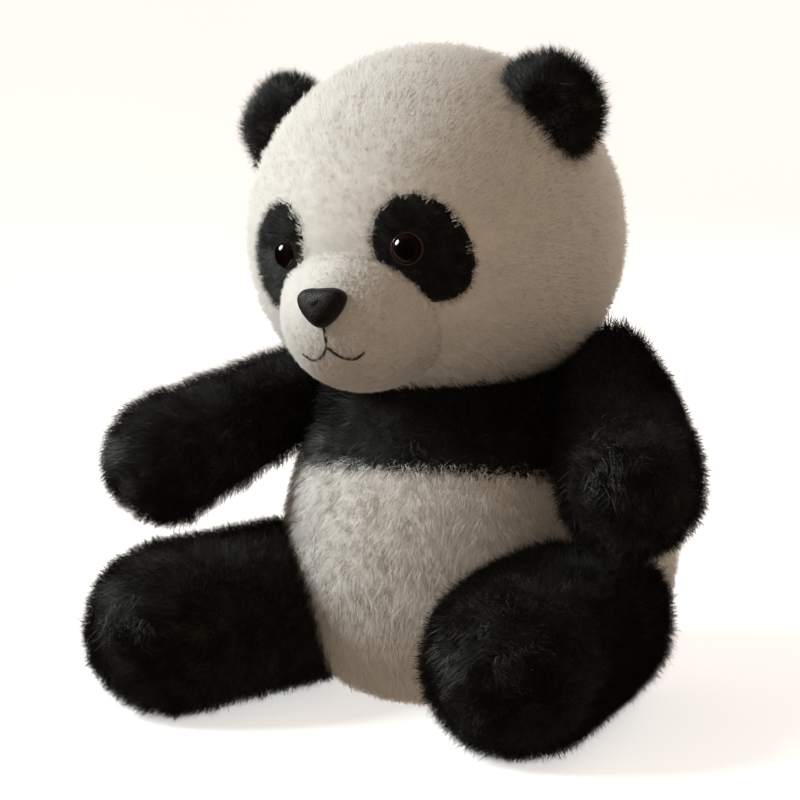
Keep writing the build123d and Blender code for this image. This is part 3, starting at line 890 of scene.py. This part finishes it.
def make_patch(name, side):
    """A thin closed sheet laid on the head inside the patch's outline."""
    bm = bmesh.new()
    turns, rings = 48, 12
    c, s = math.cos(PATCH["lean"]), side * math.sin(PATCH["lean"])
    front = []
    for ring in range(rings + 1):
        share = ring / rings
        row = []
        for k in range(turns if ring else 1):
            turn = 2 * math.pi * k / turns
            across, along = PATCH["wide"] * share * math.cos(turn), PATCH["high"] * share * math.sin(turn)
            x = side * PATCH["x"] + across * c - along * s
            z = PATCH["z"] + across * s + along * c
            hit = head_tree.ray_cast(Vector((x, -CAST_REACH, z)), Vector((0, 1, 0)))
            row.append(bm.verts.new(hit[0] + hit[1] * (0.7 * MM * (1 - share**6))))
        front.append(row)
    for low, high in zip(front, front[1:]):
        for k in range(turns):
            n = (k + 1) % turns
            if len(low) == 1:
                bm.faces.new((low[0], high[k], high[n]))
            else:
                bm.faces.new((low[k], high[k], high[n], low[n]))
    obj = link(f"eye_patch_cloth_{name}", bm)
    if sum(p.normal.y for p in obj.data.polygons) > 0:
        obj.data.flip_normals()
    solid = obj.modifiers.new("backing", "SOLIDIFY")
    solid.thickness = 0.9 * MM
    solid.offset = -1
    return baked(obj)


patches = {name: make_patch(name, side) for name, side in SIDES.items()}

# ---- grooming ------------------------------------------------------------------------------------
EYE_CLEAR = 5.2 * MM           # no pile grows nearer an eye's axis than this
EYE_FADE = 1.2 * MM            # over which it thickens again
EYE_DEPTH = 8 * MM             # how far under its seat an eye still keeps the pile off
NECK_Z = 133 * MM              # under this the head is hidden on the neck
SEAT_RADIUS = 50 * MM          # the flat the toy sits on, where thin pile is enough
nose_point = np.array(nose_seat)
white_tufts = [tuft(f"white_tuft_{i}", 19, 3, 0.80, 0.95, 0.0235, 0.17, 40 + i) for i in range(4)]
black_tufts = [tuft(f"black_tuft_{i}", 24, 3, 0.70, 0.95, 0.0150, 0.14, 60 + i) for i in range(4)]
nap_tufts = [tuft(f"nap_tuft_{i}", 22, 0, 1.2, 1.0, 0.050, 0.22, 80 + i) for i in range(3)]
white_pile = pile_tree("white_pile", white_tufts, WHITE_FIBRES, (0.45, 0.3, 0.15, 0.1))
black_pile = pile_tree("black_pile", black_tufts, BLACK_FIBRES, (0.4, 0.35, 0.18, 0.07))
nap_pile = pile_tree("nap_pile", nap_tufts, WHITE_FIBRES, (0.5, 0.35, 0.1, 0.05))


def away_from(point):
    point = np.array(point)
    return lambda points: points - point


def eye_gap(points):
    """1 away from the eyes, 0 under them."""
    gap = np.ones(len(points))
    for _, seat, out in eyes.values():
        offset = points - np.array(seat)
        height = offset @ np.array(out)
        far = np.linalg.norm(offset - np.outer(height, out), axis=1)
        clear = np.minimum(gap, np.clip((far - EYE_CLEAR) / EYE_FADE, 0, 1))
        gap = np.where(height > -EYE_DEPTH, clear, gap)
    return gap


def head_cover(points):
    cover = np.ones(len(points))
    cover[inside(muzzle_tree, points, 0.5 * MM)] = 0
    for side in SIDES.values():
        cover[patch_share(points, side) < 1.0] = 0
    cover[points[:, 2] < NECK_Z] = 0.15
    return cover * eye_gap(points)


def head_length(points):
    """Shorter round the face, longer and fluffier toward the back and the jowls."""
    length = np.full(len(points), PILE["head"])
    face = np.linalg.norm(points - np.array((0, -100 * MM, 175 * MM)), axis=1)
    return length * (0.72 + 0.28 * np.clip((face - 35 * MM) / (40 * MM), 0, 1))


HEAD_LEAN = math.radians(2.5)  # the face leans a little toward its right side
HEAD_MIDDLE = Vector((0, -28 * MM, 189.5 * MM))


def ride_with(obj, body, slot, *nodes, fill=None):
    if body == "head":
        turn = Matrix.Translation(HEAD_MIDDLE) @ Matrix.Rotation(-HEAD_LEAN, 4, "Y")
        obj.data.transform(turn @ Matrix.Translation(-HEAD_MIDDLE))
        obj.data.update()
    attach(obj, body)
    if nodes:
        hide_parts(*nodes)


def grow_zones(obj, zones, tree, density, ruffle, seed, body, slot):
    """Grows one pile piece for each zone of a skin: (name, test on points)."""
    mesh = obj.data
    cover = np.zeros(len(mesh.vertices), np.float32)
    mesh.attributes["cover"].data.foreach_get("value", cover)
    points = coordinates(obj)
    for k, (name, test) in enumerate(zones):
        share = np.where(test(points), cover, 0).astype(np.float32)
        mesh.attributes["cover"].data.foreach_set("value", share)
        ride_with(grow(obj, name, tree, density, ruffle, seed + k), body, slot)
    for name in ("comb", "length", "cover"):
        mesh.attributes.remove(mesh.attributes[name])


def everywhere(points):
    return np.ones(len(points), bool)


groom(head, away_from((0, -112 * MM, 176 * MM)), 0.62, 0.45, 22 * MM, head_length, head_cover, 1)
head.data.materials.append(WHITE_CLOTH)
grow_zones(head, [
    ("head_pile_front_left", lambda p: (p[:, 1] < -28 * MM) & (p[:, 0] >= 0)),
    ("head_pile_front_right", lambda p: (p[:, 1] < -28 * MM) & (p[:, 0] < 0)),
    ("head_pile_back_left", lambda p: (p[:, 1] >= -28 * MM) & (p[:, 0] >= 0)),
    ("head_pile_back_right", lambda p: (p[:, 1] >= -28 * MM) & (p[:, 0] < 0)),
], white_pile, TUFTS["head"], RUFFLE["head"], 11, "head", "white_plush")
ride_with(head, "head", "white_plush", "head_skin", "head_stuffing", fill=0.9)

for name, side in SIDES.items():
    low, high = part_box(f"ear_skin_{name}")
    centre = (low + high) / 2
    groom(ears[name], away_from(centre + Vector((0, 4 * MM, -6 * MM))), 0.35, 0.6, 9 * MM, PILE["ear"],
          lambda p: np.where(inside(head_tree, p), 0, 1), 20 + side)
    ears[name].data.materials.append(BLACK_CLOTH)
    grow_zones(ears[name], [(f"ear_pile_{name}", everywhere)], black_pile, TUFTS["ear"], RUFFLE["black"],
               31 + side, "head", "black_plush")
    ride_with(ears[name], "head", "black_plush", f"ear_skin_{name}", f"ear_padding_{name}", fill=0.6)

    groom(patches[name], away_from(eyes[name][1]), 0.28, 0.5, 7 * MM, PILE["patch"],
          lambda p: np.where(inside(muzzle_tree, p, 0.3 * MM), 0, 1) * eye_gap(p), 40 + side)
    patches[name].data.materials.append(BLACK_CLOTH)
    grow_zones(patches[name], [(f"eye_patch_pile_{name}", lambda p: p[:, 1] < 0)], black_pile,
               TUFTS["patch"], RUFFLE["black"], 51 + side, "head", "black_plush")
    ride_with(patches[name], "head", "black_plush", f"eye_patch_{name}")
    eye = eyes[name][0]
    ride_with(eye, "head", "eye_plastic", f"eye_{name}")

groom(muzzle, away_from(nose_point), 0.5, 0.4, 10 * MM, PILE["muzzle"],
      lambda p: np.where(inside(head_tree, p, -0.2 * MM), 0, 1)
      * np.where(np.linalg.norm(p - nose_point, axis=1) < 6 * MM, 0, 1), 61)
muzzle.data.materials.append(MUZZLE_CLOTH)
grow_zones(muzzle, [("muzzle_nap", everywhere)], nap_pile, TUFTS["muzzle"], RUFFLE["muzzle"], 62,
           "head", "muzzle_plush")
ride_with(muzzle, "head", "muzzle_plush", "muzzle_skin", "muzzle_stuffing", fill=0.9)
ride_with(nose, "head", "nose_plastic", "nose")
ride_with(mouth, "head", "thread", "mouth_embroidery")

arm_trees = [tree_of(limbs[key]) for key in limbs]


def torso_cover(points):
    cover = np.ones(len(points))
    cover[inside(head_tree, points, 2.5 * MM)] = 0
    for tree in arm_trees:
        cover[inside(tree, points, -1 * MM)] = 0.35
    under = (np.hypot(points[:, 0], points[:, 1]) < SEAT_RADIUS) & (points[:, 2] < 5 * MM)
    cover[under] *= 0.4
    return cover


groom(belly, lambda p: np.tile((0, 0, -1.0), (len(p), 1)), 0.58, 0.7, 14 * MM, PILE["belly"],
      lambda p: torso_cover(p) * (p[:, 2] < yoke_edge(p) + 0.4 * MM), 71)
belly.data.materials.append(WHITE_CLOTH)
ride_with(belly, "torso", "white_plush", "torso_lower_skin", "torso_stuffing", "pellet_bag", fill=0.9)
grow_zones(belly, [
    ("belly_pile_front", lambda p: p[:, 1] < 0),
    ("belly_pile_back", lambda p: p[:, 1] >= 0),
], white_pile, TUFTS["belly"], RUFFLE["belly"], 73, "torso", "white_plush")


def yoke_length(points):
    """Longer on the slope between neck and arm, where the pile fills the crease."""
    aside = np.clip((np.abs(points[:, 0]) - 24 * MM) / (16 * MM), 0, 1)
    high = np.clip((points[:, 2] - 112 * MM) / (10 * MM), 0, 1)
    return (6.0 + 5.0 * aside * high) * MM


groom(yoke, lambda p: np.tile((0, 0, -1.0), (len(p), 1)), 0.4, 0.8, 12 * MM, yoke_length,
      lambda p: torso_cover(p) * (p[:, 2] > yoke_edge(p) - 0.4 * MM), 81)
yoke.data.materials.append(BLACK_CLOTH)
ride_with(yoke, "torso", "black_plush", "torso_upper_skin", fill=0.9)
grow_zones(yoke, [("yoke_pile", everywhere)], black_pile, TUFTS["yoke"], RUFFLE["black"], 83,
           "torso", "black_plush")


def limb_length(points):
    """Longest where the top of the sleeve closes the gap to the neck."""
    high = np.clip((points[:, 2] - 134 * MM) / (10 * MM), 0, 1)
    near = np.clip((76 * MM - np.abs(points[:, 0])) / (10 * MM), 0, 1)
    return (6.6 + 7.0 * high * near) * MM


for (kind, name), form in limbs.items():
    start, end = scaled_core(ARM_CORE if kind == "arm" else LEG_CORE, SIDES[name])
    heading = np.array(end) - np.array(start)
    start = np.array(start) - heading * 0.3
    groom(form, away_from(start), 0.42, 0.8, 13 * MM, limb_length, 1.0, 91 + len(kind) + SIDES[name])
    form.data.materials.append(BLACK_CLOTH)
    ride_with(form, f"{kind}_{name}", "black_plush", f"{kind}_skin_{name}", f"{kind}_stuffing_{name}",
              fill=0.85)
    grow_zones(form, [(f"{kind}_pile_{name}", everywhere)], black_pile, TUFTS["limb"], RUFFLE["black"],
               101 + SIDES[name], f"{kind}_{name}", "black_plush")

for helper in (*white_tufts, *black_tufts, *nap_tufts):
    bpy.data.objects.remove(helper)

for name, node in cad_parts.items():
    if not node.hide_render:
        node.data.materials.clear()
        node.data.materials.append(JOINT_PLASTIC)


# ---- studio --------------------------------------------------------------------------------------
def studio_floor():
    """A pale floor that curves up into a wall all round."""
    profile = [(0.0, 0.0), (1.2, 0.0), (2.0, 0.0), (2.6, 0.16), (3.0, 0.6), (3.1, 1.3), (3.1, 3.0)]
    steps = 64
    bm = bmesh.new()
    centre = bm.verts.new((0, 0, 0))
    turns = [2 * math.pi * k / steps for k in range(steps)]
    rings = [[bm.verts.new((r * math.cos(turn), r * math.sin(turn), z)) for turn in turns]
             for r, z in profile[1:]]
    for k in range(steps):
        bm.faces.new((centre, rings[0][k], rings[0][(k + 1) % steps]))
    for low, high in zip(rings, rings[1:]):
        for k in range(steps):
            bm.faces.new((low[k], high[k], high[(k + 1) % steps], low[(k + 1) % steps]))
    for face in bm.faces:
        face.smooth = True
    mesh = bpy.data.meshes.new("studio_floor")
    bm.to_mesh(mesh)
    bm.free()
    floor = bpy.data.objects.new("studio_floor", mesh)
    SCENE.collection.objects.link(floor)
    subdivide(floor, 2)
    floor.data.materials.append(new_material("studio_paper", Base_Color=(0.95, 0.95, 0.945), Roughness=0.9,
                                             Emission_Color=(1.0, 1.0, 0.99), Emission_Strength=0.62,
                                             Specular_IOR_Level=0.1))
    floor.visible_diffuse = floor.visible_glossy = False


def area_light(name, place, target, size, power, colour, glossy=True):
    data = bpy.data.lights.new(name, "AREA")
    data.shape = "DISK"
    data.size = size
    data.energy = power
    data.color = colour
    obj = bpy.data.objects.new(name, data)
    obj.location = place
    obj.rotation_mode = "QUATERNION"
    obj.rotation_quaternion = (Vector(target) - Vector(place)).to_track_quat("-Z", "Y")
    obj.visible_camera = False
    obj.visible_glossy = glossy
    SCENE.collection.objects.link(obj)


def camera():
    target = Vector((0, -5 * MM, 122 * MM))
    azimuth, elevation, roll = math.radians(31), math.radians(6.5), math.radians(-1.6)
    back = Vector((math.sin(azimuth) * math.cos(elevation), -math.cos(azimuth) * math.cos(elevation),
                   math.sin(elevation)))
    data = bpy.data.cameras.new("camera")
    data.lens = 112.5
    data.sensor_width = 36
    data.shift_x = -0.0875
    data.shift_y = -0.01
    obj = bpy.data.objects.new("camera", data)
    obj.location = target + back * 1.05
    obj.rotation_mode = "QUATERNION"
    obj.rotation_quaternion = (-back).to_track_quat("-Z", "Y") @ Quaternion((0, 0, 1), roll)
    SCENE.collection.objects.link(obj)
    SCENE.camera = obj


studio_floor()
area_light("key", (-1.35, -0.85, 1.12), (0, -0.03, 0.13), 0.8, 32, (0.95, 1.0, 0.985))
area_light("fill", (1.5, -1.0, 0.7), (0, 0, 0.12), 1.4, 2, (1.0, 0.74, 0.52), glossy=False)
area_light("back", (0.2, 1.8, 0.75), (0, 0, 0.13), 1.2, 12, (1.0, 0.96, 0.91), glossy=False)
world = bpy.data.worlds.new("studio")
SCENE.world = world
world.use_nodes = True
world.node_tree.nodes["Background"].inputs["Color"].default_value = (1.0, 0.77, 0.58, 1)
world.node_tree.nodes["Background"].inputs["Strength"].default_value = 0.33
world.cycles_visibility.glossy = False
SCENE.view_settings.view_transform = "Standard"
camera()
